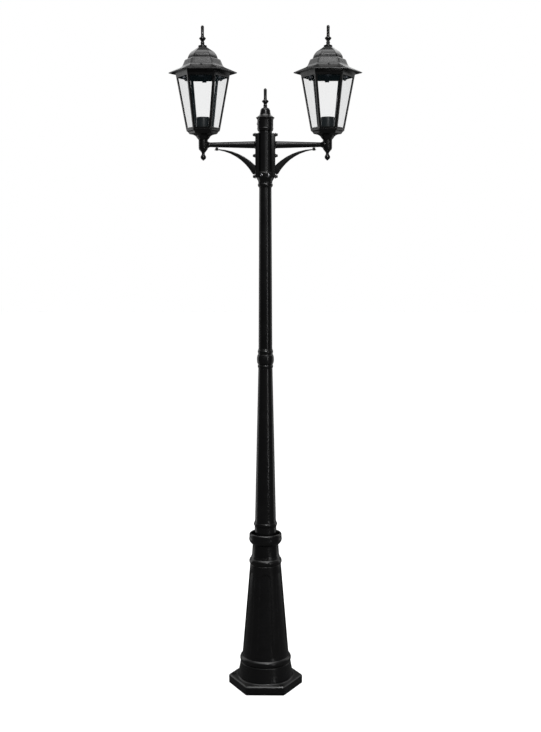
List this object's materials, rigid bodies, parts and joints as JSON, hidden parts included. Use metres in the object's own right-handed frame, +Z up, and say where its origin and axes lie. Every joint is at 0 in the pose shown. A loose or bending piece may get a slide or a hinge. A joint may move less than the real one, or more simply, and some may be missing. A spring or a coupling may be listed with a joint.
{
  "type": "street lamp post",
  "caption": "Cast street lamp post with a hexagonal foot, tapered post, scroll-braced arms and hexagonal glazed lanterns whose roofs lift off.",
  "frame": {"origin": "centre of the foot on the ground", "axes": "+Z up the post, +X along the arms towards the right-hand lantern, -Y the front"},
  "size_m": [0.626, 0.2196, 2.2],
  "materials": {
    "black_coating": "satin powder coat over cast aluminium",
    "steel_fixing": "zinc plated, satin",
    "black_fixing": "blackened steel, satin",
    "clear_glass": "clear float glass, polished",
    "spring_steel": "bright strip",
    "holder_plastic": "moulded, fine matt",
    "holder_ceramic": "glazed white",
    "brass": "bright",
    "block_plastic": "natural polyamide",
    "cable_sheath": "smooth PVC"
  },
  "bodies": {
    "post": {"base_casting": "black_coating", "lower_shaft": "black_coating", "shaft_nut": "steel_fixing", "mid_coupling": "black_coating", "upper_tube": "black_coating", "coupling_screw": "black_fixing", "hub": "black_coating", "hub_screws": "steel_fixing", "hub_cap": "black_coating", "cap_screw": "steel_fixing", "cap_finial": "black_coating", "cap_finial_nut": "steel_fixing", "terminal_block": "block_plastic", "terminal_screws": "brass", "block_screws": "steel_fixing", "earth_screw": "brass", "arm_left": "black_coating", "arm_screws_left": "black_fixing", "brace_left": "black_coating", "brace_screw_left": "black_fixing", "drop_knob_left": "black_coating", "lantern_tray_left": "black_coating", "lantern_cage_left": "black_coating", "glass_panes_left": "clear_glass", "pane_clips_left": "spring_steel", "nipple_left": "brass", "nipple_nut_left": "brass", "lampholder_body_left": "holder_ceramic", "screw_shell_left": "brass", "centre_contact_left": "brass", "lampholder_cover_left": "holder_plastic", "lamp_cable_left": "cable_sheath", "arm_right": "black_coating", "arm_screws_right": "black_fixing", "brace_right": "black_coating", "brace_screw_right": "black_fixing", "drop_knob_right": "black_coating", "lantern_tray_right": "black_coating", "lantern_cage_right": "black_coating", "glass_panes_right": "clear_glass", "pane_clips_right": "spring_steel", "nipple_right": "brass", "nipple_nut_right": "brass", "lampholder_body_right": "holder_ceramic", "screw_shell_right": "brass", "centre_contact_right": "brass", "lampholder_cover_right": "holder_plastic", "lamp_cable_right": "cable_sheath"},
    "roof_left_lid": {"roof_left": "black_coating", "roof_screws_left": "black_fixing", "roof_finial_left": "black_coating", "finial_nut_left": "steel_fixing"},
    "roof_right_lid": {"roof_right": "black_coating", "roof_screws_right": "black_fixing", "roof_finial_right": "black_coating", "finial_nut_right": "steel_fixing"}
  },
  "joints": [
    {"name": "roof_left_lift", "type": "slide", "parent": "post", "child": "roof_left_lid", "axis": [0, 0, 1], "range_m": [0, 0.25]},
    {"name": "roof_right_lift", "type": "slide", "parent": "post", "child": "roof_right_lid", "axis": [0, 0, 1], "range_m": [0, 0.25]}
  ]
}
